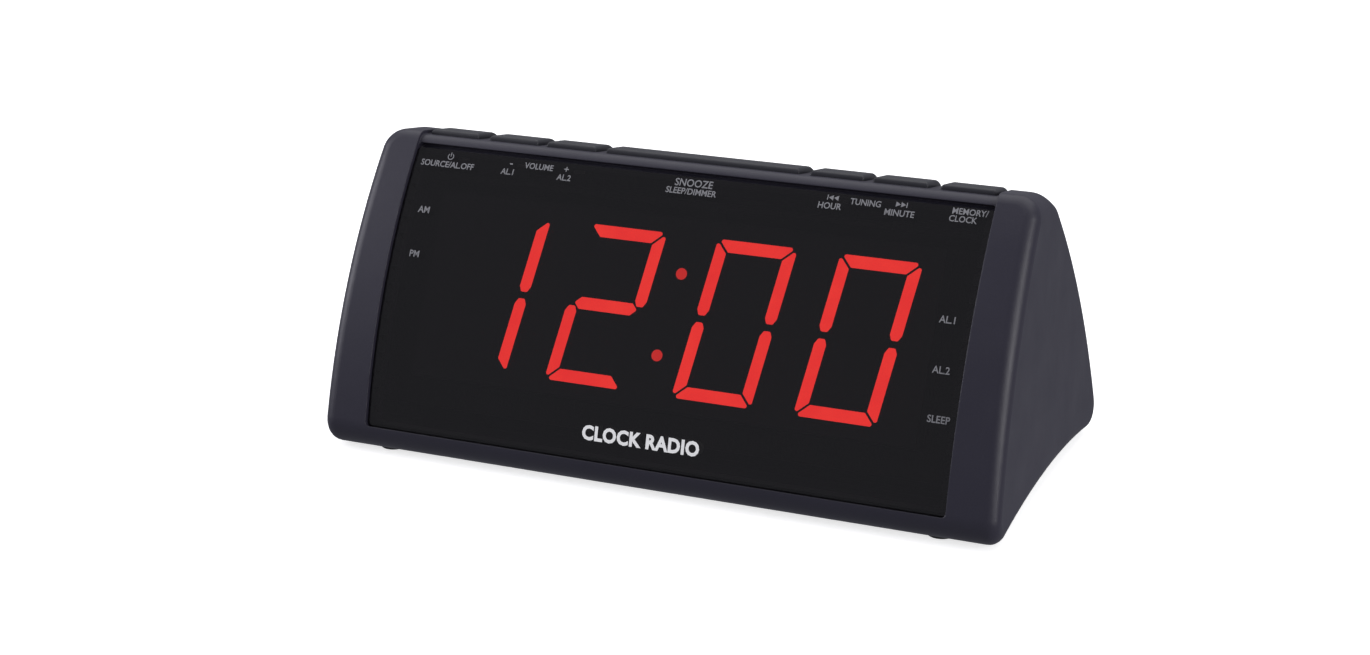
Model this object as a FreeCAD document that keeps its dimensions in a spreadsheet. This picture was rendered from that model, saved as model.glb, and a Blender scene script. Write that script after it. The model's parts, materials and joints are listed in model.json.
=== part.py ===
import FreeCAD, Part
import math
import os
import re
import Sketcher

# Clock radio with a jumbo red LED display, in millimetres. +X runs along the
# length, +Y goes to the back and +Z up. The origin is on the ground, under
# the middle of the case. Four sets of axes are used: WORLD, FRONT (leaning
# back with the window), TOP (sloping with the button row) and REAR (square
# to the middle of the curved back).

Vector = FreeCAD.Vector
Rotation = FreeCAD.Rotation

doc = FreeCAD.newDocument("clock_radio")
sheet = doc.addObject("Spreadsheet::Sheet", "dims")

DIMENSIONS = [
    # the case outline, seen from the end
    ("front_bottom_y", -54.93, "front lower corner, before rounding"),
    ("front_bottom_z", -1.00, "front lower corner, before rounding"),
    ("front_top_y", -13.81, "front upper corner, before rounding"),
    ("front_top_z", 88.13, "front upper corner, before rounding"),
    ("rear_top_y", 1.15, "rear upper corner, before rounding"),
    ("rear_top_z", 85.41, "rear upper corner, before rounding"),
    ("rear_bottom_y", 56.45, "rear lower corner, before rounding"),
    ("rear_bottom_z", -0.50, "rear lower corner, before rounding"),
    ("front_bulge", 177.6, "radius of the bulged front"),
    ("rear_bulge", 214.2, "radius of the curved back"),
    ("arch_sweep", 299.2, "radius of the arched underside"),
    ("half_length", 102.5, "half length of the case at its underside"),
    ("end_draft", 1.728, "lean of each end face, degrees"),
    ("front_foot_round", 7.5, "rounding of the front lower corner"),
    ("rear_foot_round", 7.0, "rounding of the rear lower corner"),
    ("band_round", 4.6, "rounding of the front upper corner"),
    ("back_round", 8.4, "rounding of the rear upper corner"),
    ("end_round", 4.0, "rounding round each end face"),
    ("shoulder_round", 7.0, "rounding of each end's top edge"),
    ("wall", 2.4, "thickness of the case walls"),
    # the leaning front
    ("front_lean", 25.54, "lean of the front, degrees from upright"),
    ("window_base_y", -52.35, "lower edge of the window"),
    ("window_base_z", 8.68, "lower edge of the window"),
    ("window_half", 87.86, "half the window's width"),
    ("window_height", 84.9, "window height up the slope"),
    ("window_round", 1.2, "rounding of the window's corners"),
    ("lens_recess", 1.3, "depth of the lens behind the frame"),
    ("lens_gap", 1.4, "open groove between the lens and the band above it"),
    ("lens_back", 3.0, "depth of the lens's back face"),
    ("tape_back", 3.5, "depth of the lip that carries the lens"),
    ("lip_back", 5.5, "depth of the back of that lip"),
    ("lip_width", 2.5, "how far the lip reaches into the window"),
    ("frame_depth", 5.6, "depth of the thick frame round the window"),
    ("frame_margin", 2.6, "width of the thick frame"),
    # the display
    ("digit_height", 45.7, "digit height"),
    ("digit_width", 23.7, "digit width"),
    ("digit_base", 21.16, "digits' foot, up the slope from the window's edge"),
    ("digit_slant", 7.48, "slant of the digits, degrees"),
    ("digit_inner", 19.56, "middle of each inner digit from the centre"),
    ("digit_outer", 55.71, "middle of each outer digit from the centre"),
    ("stroke", 3.5, "stroke of the digits"),
    ("seam", 0.45, "dark seam between two segments"),
    ("colon_spread", 11.8, "height of each colon dot from the middle"),
    ("dot_radius", 1.65, "radius of a colon dot"),
    ("segment_depth", 1.2, "thickness of a segment's diffuser"),
    ("segment_round", 0.6, "rounding of a segment's corners"),
    ("block_half", 76.4, "half the width of the display's block"),
    ("block_depth", 8.0, "depth of the display's block"),
    ("board_thick", 1.6, "thickness of each circuit board"),
    # the button row
    ("crest_y", -11.35, "front edge of the top's flat"),
    ("crest_z", 87.68, "front edge of the top's flat"),
    ("top_slope", 10.3, "slope of the top, degrees down to the back"),
    ("tray_depth", 1.1, "how far the tray and the band before it lie below the case's skin"),
    ("tray_back", 16.4, "back edge of the tray behind the crest"),
    ("button_front", 1.1, "front of a button behind the crest"),
    ("button_back", 14.3, "back of a button behind the crest"),
    ("button_gap", 0.35, "clearance round a button"),
    ("button_round", 1.0, "rounding of a button's edges"),
    ("button_rise", 0.45, "how far the buttons stand above the case's skin"),
    ("button_half", 7.7, "half the length of a small button"),
    ("snooze_half", 29.4, "half the length of the snooze button"),
    ("stem_radius", 1.7, "radius of a button's stem"),
    ("plunger_top", -7.2, "top of a switch's plunger"),
    ("switch_top", -8.5, "top of a switch's housing"),
    ("switch_bore", 1.8, "radius of the bore in a switch"),
    ("button_board_top", -12.0, "upper face of the button board"),
    # the back
    ("back_y", 34.00, "middle of the curved back"),
    ("back_z", 45.80, "middle of the curved back"),
    ("back_lean", 32.8, "lean of the back's middle, degrees"),
    ("cover_gap", 0.25, "gap round each cover"),
    ("speaker_x", -48.0, "middle of the speaker"),
    ("speaker_face", -4.6, "front face of the speaker's flange"),
    ("recess_wall_y", 42.3, "upright wall of the jack recess"),
    ("jack_z", 20.0, "height of the jacks' axes"),
    ("power_x", 24.0, "middle of the power jack"),
    ("audio_x", 45.0, "middle of the audio jack"),
    ("audio_bore", 1.8, "radius of the 3.5 mm jack's bore"),
    ("aerial_x", 62.0, "middle of the aerial lead's grommet"),
    # the base
    ("door_left", -76.5, "left edge of the battery door"),
    ("door_right", -27.5, "right edge of the battery door"),
    ("door_front", -14.2, "front edge of the battery door"),
    ("hinge_y", 13.0, "battery door's hinge"),
    ("hinge_z", 5.5, "battery door's hinge"),
    ("hinge_radius", 1.2, "rounded edge of the door on its hinge"),
    ("pin_radius", 0.7, "radius of the door's hinge pins"),
    ("cell_radius", 5.25, "radius of a backup cell"),
    ("cell_length", 44.5, "length of a backup cell"),
    ("foot_radius", 4.5, "radius of a rubber foot"),
    ("foot_height", 2.4, "height of a rubber foot"),
    ("main_board_z", 11.0, "lower face of the main board"),
    ("shank", 1.1, "radius of a screw's shank"),
    ("head_radius", 2.4, "radius of a screw's head"),
    ("head_height", 1.4, "height of a screw's head"),
]

for row, (alias, number, meaning) in enumerate(DIMENSIONS, start=1):
    sheet.set(f"A{row}", alias)
    sheet.set(f"B{row}", str(number))
    sheet.set(f"C{row}", meaning)
    sheet.setAlias(f"B{row}", alias)
doc.recompute()
ALIASES = {alias for alias, number, meaning in DIMENSIONS}

nodes = {}


def rule(text):
    """An expression in which every alias is read from the sheet."""
    return re.sub(r"[a-z_]+", lambda word: "dims." + word[0] if word[0] in ALIASES else word[0], str(text))


def value(text):
    """The number that a rule gives."""
    return float(sheet.evalExpression(rule(text)))


def bind(item, rules):
    """Drive an object's properties from the sheet."""
    for name, text in rules.items():
        item.setExpression(name, rule(text))


def keep(item, name):
    """Make an object one of the clock radio's pieces."""
    item.Label = name
    nodes[name] = item
    return item


class Frame:
    """Axes turned about X, in which places are written as x, y, z."""

    def __init__(self, y, z, angle):
        self.y = y
        self.z = z
        self.angle = angle

    def turned(self, y, z):
        """The rules that give a place's Y and Z in the world."""
        cosine = f"cos({self.angle} * 1 deg)"
        sine = f"sin({self.angle} * 1 deg)"
        return (f"{self.y} + ({y}) * {cosine} - ({z}) * {sine}",
                f"{self.z} + ({y}) * {sine} + ({z}) * {cosine}")

    def point(self, x, y, z):
        """A place as a point of the world."""
        world_y, world_z = self.turned(y, z)
        return Vector(value(x), value(world_y), value(world_z))

    def place(self, item, x, y, z, along="z"):
        """Put an object at a place, with its own Z along one of the axes."""
        world_y, world_z = self.turned(y, z)
        rules = {"Placement.Base.x": x, "Placement.Base.y": world_y, "Placement.Base.z": world_z}
        if along == "x":
            item.Placement = FreeCAD.Placement(Vector(), Rotation(Vector(0, 1, 0), 90))
        else:
            angle = self.angle if along == "z" else f"{self.angle} - 90"
            if value(angle):
                item.Placement = FreeCAD.Placement(Vector(), Rotation(Vector(1, 0, 0), value(angle)))
                rules["Placement.Rotation.Angle"] = angle
        bind(item, rules)
        return item


WORLD = Frame("0", "0", "0")
FRONT = Frame("window_base_y", "window_base_z", "-front_lean")
TOP = Frame("crest_y", "crest_z", "-top_slope")
REAR = Frame("back_y", "back_z", "back_lean")


def box(name, frame, x, y, z):
    """A block between pairs of limits along the frame's axes."""
    item = doc.addObject("Part::Box", name)
    sizes = [f"({high}) - ({low})" for low, high in (x, y, z)]
    bind(item, dict(zip(("Length", "Width", "Height"), sizes)))
    return frame.place(item, x[0], y[0], z[0])


def rod(name, frame, start, radius, length, along="z"):
    """A cylinder from its start along one axis."""
    item = doc.addObject("Part::Cylinder", name)
    bind(item, {"Radius": radius, "Height": length})
    return frame.place(item, *start, along)


def cut(name, base, *tools):
    """The base with the tools taken away."""
    item = doc.addObject("Part::Cut", name)
    item.Base = base
    item.Tool = tools[0] if len(tools) == 1 else fuse(name + "_tools", *tools)
    return item


def fuse(name, *items):
    """Several shapes joined into one."""
    item = doc.addObject("Part::MultiFuse", name)
    item.Shapes = list(items)
    return item


def common(name, first, second):
    """What two shapes share."""
    item = doc.addObject("Part::Common", name)
    item.Base = first
    item.Tool = second
    return item


def group(name, items):
    """Separate solids kept together as one piece."""
    item = doc.addObject("Part::Compound", name)
    item.Links = list(items)
    return keep(item, name)


def inset(name, base, depth):
    """A form shrunk by a depth on all its faces."""
    item = doc.addObject("Part::Offset", name)
    item.Source = base
    item.Join = "Intersection"
    bind(item, {"Value": f"-({depth})"})
    return item


def middle(edge):
    """The point half way along an edge."""
    return edge.valueAt((edge.FirstParameter + edge.LastParameter) / 2)


def rounded(name, base, radius_of):
    """Round the edges for which radius_of gives a radius."""
    doc.recompute()
    item = doc.addObject("Part::Fillet", name)
    item.Base = base
    picked = []
    for index, edge in enumerate(base.Shape.Edges, start=1):
        radius = radius_of(edge)
        if radius:
            picked.append((index, radius, radius))
    item.Edges = picked
    return item


def sketch_on(body, role):
    """A sketch on one of a body's own origin planes."""
    sketch = body.newObject("Sketcher::SketchObject", body.Name + "_outline")
    plane = next(item for item in body.Origin.OriginFeatures if item.Role == role)
    sketch.AttachmentSupport = (plane, [""])
    sketch.MapMode = "FlatFace"
    return sketch


def pin_point(sketch, edge, end, place):
    """Tie an edge's end to a place given by two rules."""
    for kind, axis, text in (("DistanceX", -2, place[0]), ("DistanceY", -1, place[1])):
        number = value(text)
        if abs(number) < 1e-9:
            sketch.addConstraint(Sketcher.Constraint("PointOnObject", edge, end, axis))
        else:
            row = sketch.addConstraint(Sketcher.Constraint(kind, -1, 1, edge, end, number))
            sketch.setExpression(f"Constraints[{row}]", rule(text))


def outline(sketch, corners):
    """A closed outline of straight runs through corners given by rules."""
    points = [Vector(value(across), value(up), 0) for across, up in corners]
    count = len(points)
    for index, start in enumerate(points):
        sketch.addGeometry(Part.LineSegment(start, points[(index + 1) % count]), False)
    for index in range(count):
        sketch.addConstraint(Sketcher.Constraint("Coincident", index, 2, (index + 1) % count, 1))
        pin_point(sketch, index, 1, corners[index])


def turned(name, frame, start, profile, along="z"):
    """A turned piece: a profile of radius and height, spun about its own Z."""
    body = doc.addObject("PartDesign::Body", name)
    sketch = sketch_on(body, "XZ_Plane")
    outline(sketch, profile)
    spin = body.newObject("PartDesign::Revolution", name + "_spin")
    spin.Profile = sketch
    spin.ReferenceAxis = (sketch, ["V_Axis"])
    spin.Angle = 360
    return frame.place(body, *start, along)


def padded(name, frame, start, corners, length, plane="XY_Plane"):
    """A piece of one outline padded to a length, evenly about its plane."""
    body = doc.addObject("PartDesign::Body", name)
    sketch = sketch_on(body, plane)
    outline(sketch, corners)
    pad = body.newObject("PartDesign::Pad", name + "_pad")
    pad.Profile = sketch
    pad.SideType = "Symmetric"
    bind(pad, {"Length": length})
    return frame.place(body, *start)


def wire_tube(name, points, radius):
    """A lead along straight runs joined by tangent arcs."""
    edges = []
    start = points[0]
    for before, corner, after in zip(points, points[1:], points[2:]):
        back = (before - corner)
        ahead = (after - corner)
        turn = math.pi - back.getAngle(ahead)
        reach = 0.45 * min(back.Length, ahead.Length)
        bend = reach / math.tan(turn / 2)
        back.normalize()
        ahead.normalize()
        inward = (back + ahead).normalize()
        enter = corner + back * reach
        leave = corner + ahead * reach
        waist = corner + inward * (bend / math.cos(turn / 2) - bend)
        edges.append(Part.LineSegment(start, enter).toShape())
        edges.append(Part.Arc(enter, waist, leave).toShape())
        start = leave
    edges.append(Part.LineSegment(start, points[-1]).toShape())
    path = Part.Wire(edges)
    ring = Part.Wire(Part.makeCircle(radius, points[0], points[1] - points[0]))
    item = doc.addObject("Part::Feature", name)
    item.Shape = path.makePipeShell([ring], True, False)
    return item


def self_tapping_screw(name, frame, place, along="z", point_down=True, length="6"):
    """A pan-head screw whose head sits on the place, point along the axis."""
    x, y, z = place
    shift = {"x": 0, "y": 1, "z": 2}[along]
    shank_start = list(place)
    head_start = list(place)
    if point_down:
        shank_start[shift] = f"({place[shift]}) - {length}"
    else:
        head_start[shift] = f"({place[shift]}) - head_height"
    shank = rod(name + "_shank", frame, shank_start, "shank", length, along)
    head = rod(name + "_head", frame, head_start, "head_radius", "head_height", along)
    slot_low = [f"({text}) - 0.35" for text in place]
    slot_high = [f"({text}) + 0.35" for text in place]
    slots = []
    for wide in (axis for axis in range(3) if axis != shift):
        low = list(slot_low)
        high = list(slot_high)
        low[wide] = f"({place[wide]}) - 1.3"
        high[wide] = f"({place[wide]}) + 1.3"
        if point_down:
            low[shift] = f"({place[shift]}) + head_height - 0.9"
            high[shift] = f"({place[shift]}) + head_height + 0.1"
        else:
            low[shift] = f"({place[shift]}) - head_height - 0.1"
            high[shift] = f"({place[shift]}) - head_height + 0.9"
        slots.append(box(f"{name}_slot_{wide}", frame, *zip(low, high)))
    solid = fuse(name + "_blank", shank, head)
    return cut(name, solid, *slots)


def through(name, frame, place, radius, reach, along):
    """A drill centred on a place, reaching the same way to both sides."""
    start = list(place)
    shift = {"x": 0, "y": 1, "z": 2}[along]
    start[shift] = f"({place[shift]}) - ({reach})"
    return rod(name, frame, start, radius, f"2 * ({reach})", along)


# ---------------------------------------------------------------- case forms


def side_form():
    """The end view of the case, padded to its length."""
    body = doc.addObject("PartDesign::Body", "side_form")
    sketch = sketch_on(body, "YZ_Plane")
    front_bottom = ("front_bottom_y", "front_bottom_z")
    front_top = ("front_top_y", "front_top_z")
    rear_top = ("rear_top_y", "rear_top_z")
    rear_bottom = ("rear_bottom_y", "rear_bottom_z")
    sketch.addGeometry(arc_between(rear_bottom, rear_top, "rear_bulge"), False)
    sketch.addGeometry(straight(rear_top, front_top), False)
    sketch.addGeometry(arc_between(front_top, front_bottom, "front_bulge"), False)
    sketch.addGeometry(arc_between(rear_bottom, front_bottom, "arch_sweep"), False)
    for first, first_end, second, second_end in ((0, 2, 1, 1), (1, 2, 2, 1), (2, 2, 3, 2), (3, 1, 0, 1)):
        sketch.addConstraint(Sketcher.Constraint("Coincident", first, first_end, second, second_end))
    for edge, end, place in ((0, 1, rear_bottom), (0, 2, rear_top), (2, 1, front_top), (2, 2, front_bottom)):
        pin_point(sketch, edge, end, place)
    for edge, radius in ((0, "rear_bulge"), (2, "front_bulge"), (3, "arch_sweep")):
        row = sketch.addConstraint(Sketcher.Constraint("Radius", edge, value(radius)))
        sketch.setExpression(f"Constraints[{row}]", rule(radius))
    pad = body.newObject("PartDesign::Pad", "side_pad")
    pad.Profile = sketch
    pad.SideType = "Symmetric"
    bind(pad, {"Length": "2 * half_length + 6"})
    return body


def straight(start, end):
    """A straight run between two places."""
    points = [Vector(value(across), value(up), 0) for across, up in (start, end)]
    return Part.LineSegment(*points)


def arc_between(start, end, radius):
    """The shallow arc that runs anticlockwise from start to end."""
    first, last = (Vector(value(across), value(up), 0) for across, up in (start, end))
    chord = last - first
    half = chord.Length / 2
    rise = value(radius) - math.sqrt(value(radius) ** 2 - half ** 2)
    outward = Vector(chord.y, -chord.x, 0).normalize()
    return Part.Arc(first, (first + last) * 0.5 + outward * rise, last)


def end_form():
    """The front view of the case: two ends that lean in."""
    low = "-20"
    high = "100"
    wide = f"half_length + ({low} - rear_bottom_z) * -tan(end_draft * 1 deg)"
    narrow = f"half_length - ({high} - rear_bottom_z) * tan(end_draft * 1 deg)"
    corners = [(f"-({wide})", low), (wide, low), (narrow, high), (f"-({narrow})", high)]
    return padded("end_form", WORLD, ("0", "0", "0"), corners, "200", "XZ_Plane")


def case_round(edge):
    """The rounding of each edge of the plain case."""
    place = middle(edge)
    if abs(place.x) > value("half_length") / 2:
        return value("shoulder_round") if place.z > value("rear_top_z") else value("end_round")
    if place.z > value("rear_top_z") + 1:
        return value("band_round")
    if place.z > 0 and place.y > 0:
        return value("back_round")
    if place.y > 0:
        return value("rear_foot_round")
    return value("front_foot_round")


plain_form = common("plain_form", side_form(), end_form())
case_form = rounded("case_form", plain_form, case_round)


def inset_round(name, depth):
    """The rounded case shrunk by a depth, its edges still rounded."""
    item = inset(name, case_form, depth)
    item.Join = "Arc"
    return item


room_form = inset_round("room_form", "wall")
ledge_top_form = inset_round("ledge_top_form", "wall - 1")
raised_form = inset_round("raised_form", "-button_rise")
ledge_under_form = inset("ledge_under_form", plain_form, "wall + 2")
lens_front_form = inset("lens_front_form", plain_form, "lens_recess")
lens_back_form = inset("lens_back_form", plain_form, "lens_back")
tape_form = inset("tape_form", plain_form, "tape_back")
lip_form = inset("lip_form", plain_form, "lip_back")
frame_form = inset("frame_form", plain_form, "frame_depth")
shell_form = cut("shell_form", case_form, room_form)


def window_box(name, grow, near="-12", far="9", top_grow=None):
    """The window, grown or shrunk on its four sides."""
    return box(name, FRONT, (f"-window_half - ({grow})", f"window_half + ({grow})"), (near, far),
               (f"-({grow})", f"window_height + ({top_grow or grow})"))


def through_window(radius):
    """Rounds the edges that run straight through the window."""
    lean = math.radians(value("front_lean"))
    inward = Vector(0, math.cos(lean), -math.sin(lean))
    return lambda edge: value(radius) if abs(edge.tangentAt(edge.FirstParameter).dot(inward)) > 0.99 else 0


window_hole = rounded("window_hole", window_box("window_block", "0"), through_window("window_round"))

# rear cover: an inset panel in the back
REAR_SPAN = {"hole": ("89", "-39", "38"), "panel": ("93", "-43", "42"), "ledge": ("97", "-47", "46")}
# base cover: an inset panel in the underside
BASE_SPAN = {"hole": ("84", "-32", "36"), "panel": ("88", "-36", "40"), "ledge": ("92", "-40", "44")}


def rear_zone(name, kind, gap="0", near="-9", far="9"):
    """A block through the back, as wide as a hole, panel or ledge."""
    half, low, high = REAR_SPAN[kind]
    return box(name, REAR, (f"-{half} + {gap}", f"{half} - {gap}"), (near, far),
               (f"{low} + {gap}", f"{high} - {gap}"))


def base_zone(name, kind, gap="0", near="-3", far="13"):
    """A block through the underside, as wide as a hole, panel or ledge."""
    half, low, high = BASE_SPAN[kind]
    return box(name, WORLD, (f"-{half} + {gap}", f"{half} - {gap}"),
               (f"{low} + {gap}", f"{high} - {gap}"), (near, far))


# ------------------------------------------------------------------ buttons

BUTTONS = [
    ("source_button", "-78.4", "button_half"),
    ("volume_down_button", "-59.1", "button_half"),
    ("volume_up_button", "-40.6", "button_half"),
    ("snooze_button", "0", "snooze_half"),
    ("hour_button", "40.6", "button_half"),
    ("minute_button", "59.1", "button_half"),
    ("memory_button", "78.4", "button_half"),
]
STEM_DEPTH = "(button_front + button_back) / 2"


def button_edge(edge):
    """Rounds a button's upper edges: all those that stand above its sides."""
    place = middle(edge)
    slope = math.radians(value("top_slope"))
    away = place - TOP.point("0", "0", "0")
    height = away.y * math.sin(slope) + away.z * math.cos(slope)
    along = away.y * math.cos(slope) - away.z * math.sin(slope)
    at_edge = along < value("button_front") + 0.2 or along > value("button_back") - 0.2
    level = abs(edge.tangentAt(edge.FirstParameter).x) > 0.9
    if level:
        return value("button_round") if at_edge and height > -2.6 else 0
    upright = abs(edge.tangentAt(edge.FirstParameter).dot(Vector(0, math.sin(slope), math.cos(slope)))) > 0.9
    return 0 if upright else (value("button_round") if height > -2.6 else 0)


def button(name, centre, half):
    """A key cap that follows the case's form a little above it, with its flange and stem."""
    blank = box(name + "_blank", TOP, (f"{centre} - {half}", f"{centre} + {half}"),
                ("button_front", "button_back"), ("-4", "6"))
    cap = rounded(name + "_cap", common(name + "_form", raised_form, blank), button_edge)
    flange = box(name + "_flange", TOP, (f"{centre} - {half} - 0.9", f"{centre} + {half} + 0.9"),
                 ("button_front + 2.3", "button_back - 1.3"), ("-4", "-3.1"))
    stem = rod(name + "_stem", TOP, (centre, STEM_DEPTH, "plunger_top"), "stem_radius", "-4 - plunger_top")
    return keep(fuse(name, cap, flange, stem), name)


def button_opening(name, centre, half):
    """The hole in the tray for one button."""
    return box(name + "_opening", TOP, (f"{centre} - {half} - button_gap", f"{centre} + {half} + button_gap"),
               ("button_front - button_gap", "button_back + button_gap"), ("-7", "3"))


def plunger(name, centre):
    """The moving plunger of the switch under one button."""
    return keep(rod(name, TOP, (centre, STEM_DEPTH, "switch_top - 1.3"), "switch_bore - 0.1",
                    "plunger_top - switch_top + 1.3"), name)


def switch_housing(name, centre):
    """A square switch housing with the bore that its plunger slides in."""
    block = box(name + "_block", TOP, (f"{centre} - 3", f"{centre} + 3"),
                (f"{STEM_DEPTH} - 3", f"{STEM_DEPTH} + 3"), ("button_board_top", "switch_top"))
    bore = rod(name + "_bore", TOP, (centre, STEM_DEPTH, "switch_top - 2.1"), "switch_bore", "3")
    return cut(name, block, bore)


for button_name, button_centre, button_reach in BUTTONS:
    button(button_name, button_centre, button_reach)
    plunger(button_name.replace("button", "plunger"), button_centre)
group("switch_housings", [switch_housing(name + "_switch", centre) for name, centre, half in BUTTONS])

BUTTON_POSTS = [("-78", "18"), ("-30", "18"), ("30", "18"), ("78", "18")]
button_board_blank = box("button_board_blank", TOP, ("-82.6", "82.6"), ("0.5", "20.5"),
                         ("button_board_top - board_thick", "button_board_top"))
button_board_holes = [through(f"button_board_hole_{number}", TOP, (x, y, "button_board_top"), "shank", "4", "z")
                      for number, (x, y) in enumerate(BUTTON_POSTS)]
keep(cut("button_board", button_board_blank, *button_board_holes), "button_board")

# ------------------------------------------------------------------ cabinet

REAR_SCREWS = [("-87", "-37.5"), ("87", "-37.5"), ("-87", "36.5"), ("87", "36.5")]
BASE_SCREWS = [("-84.5", "-32.5"), ("84.5", "-32.5"), ("-84.5", "36.5"), ("84.5", "36.5")]
FEET = [("-84", "-43"), ("84", "-43"), ("-84", "46"), ("84", "46")]
DISPLAY_SCREWS = [("-87.6", "13"), ("87.6", "13"), ("-87.6", "68"), ("87.6", "68")]
BOARD_SCREWS = [("-8", "-26"), ("79", "-26"), ("-8", "30"), ("79", "30")]
REAR_SEAT = "-4.4"
BASE_SEAT = "3.7"


def cabinet_posts():
    """Posts moulded inside the cabinet for the boards and the covers."""
    posts = []
    for number, (x, y) in enumerate(BUTTON_POSTS):
        posts.append(rod(f"button_post_{number}", TOP, (x, y, "button_board_top"), "2.6", "12"))
    for number, (x, z) in enumerate(REAR_SCREWS):
        posts.append(rod(f"rear_post_{number}", REAR, (x, "-14", z), "3.6", "11", "y"))
    for number, (x, y) in enumerate(BASE_SCREWS):
        posts.append(rod(f"base_post_{number}", WORLD, (x, y, "3"), "3.6", "7"))
    for number, (x, y) in enumerate(FEET):
        posts.append(rod(f"foot_pad_{number}", WORLD, (x, y, "1.5"), "foot_radius + 1.5", "3"))
    inside = common("cabinet_posts", fuse("post_blanks", *posts), room_form)
    display = [rod(f"display_post_{number}", FRONT, (x, "1", z), "2.6", "block_depth - 1", "y")
               for number, (x, z) in enumerate(DISPLAY_SCREWS)]
    return [inside] + display


def cabinet():
    """The one moulding that is seen from the front, the top and the ends."""
    frame_block = window_box("frame_block", "frame_margin", "-12", "14", "0.4")
    frame = cut("window_frame", common("frame_skin", case_form, frame_block), frame_form)
    rear_band_zone = rear_zone("rear_band_zone", "ledge", "0", "-14", "9")
    rear_band = cut("rear_band", common("rear_band_outer", ledge_top_form, rear_band_zone), ledge_under_form)
    rear_ledge = cut("rear_ledge", rear_band, rear_zone("rear_hole_zone", "hole", "0", "-20", "12"))
    base_band_zone = base_zone("base_band_zone", "ledge")
    base_band = cut("base_band", common("base_band_outer", ledge_top_form, base_band_zone), ledge_under_form)
    base_ledge = cut("base_ledge", base_band, base_zone("base_hole_zone", "hole", "0", "-5", "20"))
    lip_band = cut("lip_band", common("lip_outer", tape_form, window_box("lip_block", "0")), lip_form)
    lip = cut("lens_lip", lip_band, window_box("lip_hole", "-lip_width", "-14", "14"))
    shell = cut("cabinet_shell", fuse("cabinet_walls", shell_form, frame, rear_ledge, base_ledge),
                window_hole,
                cut("rear_skin", rear_zone("rear_panel_zone", "panel"), room_form),
                cut("base_skin", base_zone("base_panel_zone", "panel"), room_form))
    tray_zone = box("tray_zone", TOP, ("-window_half", "window_half"), ("-14", "tray_back"), ("-16", "5"))
    tray = cut("tray_skin", common("tray_block", case_form, tray_zone), inset_round("tray_floor", "tray_depth"))
    drills = [button_opening(*entry) for entry in BUTTONS]
    for number, (x, y) in enumerate(BUTTON_POSTS):
        drills.append(rod(f"button_pilot_{number}", TOP, (x, y, "button_board_top - 1"), "shank", "7"))
    for number, (x, z) in enumerate(REAR_SCREWS):
        drills.append(rod(f"rear_pilot_{number}", REAR, (x, f"{REAR_SEAT} - 6.5", z), "shank", "8", "y"))
    for number, (x, y) in enumerate(BASE_SCREWS):
        drills.append(rod(f"base_pilot_{number}", WORLD, (x, y, "0"), "shank", f"{BASE_SEAT} + 6.2"))
    for number, (x, z) in enumerate(DISPLAY_SCREWS):
        drills.append(rod(f"display_pilot_{number}", FRONT, (x, "block_depth - 4.5", z), "shank", "6", "y"))
    for number, (x, y) in enumerate(FEET):
        drills.append(rod(f"foot_pocket_{number}", WORLD, (x, y, "-2"), "foot_radius", "foot_height + 2"))
    solid = fuse("cabinet_solid", shell, lip, *cabinet_posts())
    return keep(cut("cabinet", solid, tray, *drills), "cabinet")


cabinet()

# --------------------------------------------------------------- lens, display

lens_block = rounded("lens_round_block", window_box("lens_block", "-0.15", top_grow="-lens_gap"),
                     through_window("window_round"))
keep(cut("display_lens", common("lens_skin", lens_front_form, lens_block), lens_back_form), "display_lens")
tape_block = rounded("tape_round_block", window_box("tape_block", "-0.15", top_grow="-lens_gap"),
                     through_window("window_round"))
tape_band = cut("tape_band", common("tape_skin", lens_back_form, tape_block), tape_form)
keep(cut("lens_tape", tape_band, window_box("tape_hole", "-lip_width", "-14", "14")), "lens_tape")

# each segment's outline in a digit's own unslanted axes, from its lower left
SEGMENTS = {
    "top": [("seam", "digit_height"), ("digit_width - seam", "digit_height"),
            ("digit_width - stroke - seam", "digit_height - stroke"),
            ("stroke + seam", "digit_height - stroke")],
    "bottom": [("seam", "0"), ("stroke + seam", "stroke"),
               ("digit_width - stroke - seam", "stroke"), ("digit_width - seam", "0")],
    "middle": [("stroke / 2 + seam", "digit_height / 2"),
               ("stroke + seam", "(digit_height + stroke) / 2"),
               ("digit_width - stroke - seam", "(digit_height + stroke) / 2"),
               ("digit_width - stroke / 2 - seam", "digit_height / 2"),
               ("digit_width - stroke - seam", "(digit_height - stroke) / 2"),
               ("stroke + seam", "(digit_height - stroke) / 2")],
    "upper_left": [("0", "digit_height - seam"), ("stroke", "digit_height - stroke - seam"),
                   ("stroke", "digit_height / 2 + 2.6"), ("stroke - 0.8", "digit_height / 2 + 1"),
                   ("0.8", "digit_height / 2 + 1"), ("0", "digit_height / 2 + 2.6")],
}
MIRRORED = {
    "upper_right": ("upper_left", True, False),
    "lower_left": ("upper_left", False, True),
    "lower_right": ("upper_left", True, True),
}
DIGITS = [
    ("-digit_outer", {"upper_right", "lower_right"}),
    ("-digit_inner", {"top", "upper_right", "middle", "lower_left", "bottom"}),
    ("digit_inner", {"top", "bottom", "upper_left", "upper_right", "lower_left", "lower_right"}),
    ("digit_outer", {"top", "bottom", "upper_left", "upper_right", "lower_left", "lower_right"}),
]


def segment_outline(kind):
    """A segment's corners, mirrored from the upper left one where it can be."""
    if kind in SEGMENTS:
        return SEGMENTS[kind]
    source, flip_x, flip_z = MIRRORED[kind]
    flipped = []
    for across, up in SEGMENTS[source]:
        flipped.append((f"digit_width - ({across})" if flip_x else across,
                        f"digit_height - ({up})" if flip_z else up))
    return flipped


def slanted(centre, across, up):
    """A digit's own place as a place on the front, with the digit's slant."""
    lean = "tan(digit_slant * 1 deg)"
    return (f"{centre} - digit_width / 2 + ({across}) + (({up}) - digit_height / 2) * {lean}",
            f"digit_base + ({up})")


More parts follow.
